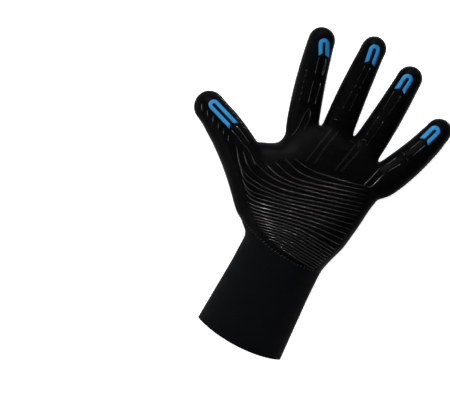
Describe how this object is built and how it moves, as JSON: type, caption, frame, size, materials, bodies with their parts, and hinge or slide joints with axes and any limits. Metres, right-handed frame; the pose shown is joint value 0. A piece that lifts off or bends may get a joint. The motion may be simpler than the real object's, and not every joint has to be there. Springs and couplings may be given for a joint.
{
  "type": "diving glove",
  "caption": "Left-hand neoprene diving glove with a long open cuff, lying palm up, with raised grip ribs on the palm and raised lines and coloured marks on the digits",
  "frame": {"origin": "middle of the underside's bounding box, on the surface that the glove lies on", "axes": "+Y runs from the cuff's mouth to the fingertips, +X from the thumb to the little finger, +Z out of the palm, up"},
  "size_m": [0.213, 0.293, 0.0515],
  "materials": {
    "neoprene": "jersey-faced neoprene, matte black",
    "coated_neoprene": "fine-grained coated neoprene, dull black",
    "grip_rubber": "raised glossy black rubber print",
    "blue_print": "satin blue rubber print",
    "white_print": "satin pale grey rubber print"
  },
  "bodies": {
    "root": {"palm_panel": "coated_neoprene", "cuff_front": "neoprene", "back_panel": "neoprene", "cuff_back": "neoprene", "finger_back_panel": "neoprene", "thumb_front": "coated_neoprene", "thumb_back": "neoprene", "index_front": "coated_neoprene", "index_back": "neoprene", "middle_front": "coated_neoprene", "middle_back": "neoprene", "ring_front": "coated_neoprene", "ring_back": "neoprene", "little_front": "coated_neoprene", "little_back": "neoprene", "palm_grip": "grip_rubber", "tip_mark_thumb": "blue_print", "tip_mark_index": "blue_print", "tip_mark_middle": "blue_print", "tip_mark_ring": "blue_print", "tip_mark_little": "blue_print", "ridges_thumb": "grip_rubber", "ridges_index": "grip_rubber", "ridges_middle": "grip_rubber", "ridges_ring": "grip_rubber", "ridges_little": "grip_rubber", "stripe_blue_finger": "blue_print", "stripe_white_finger": "white_print", "stripe_blue_cuff": "blue_print", "stripe_white_cuff": "white_print"}
  },
  "joints": []
}
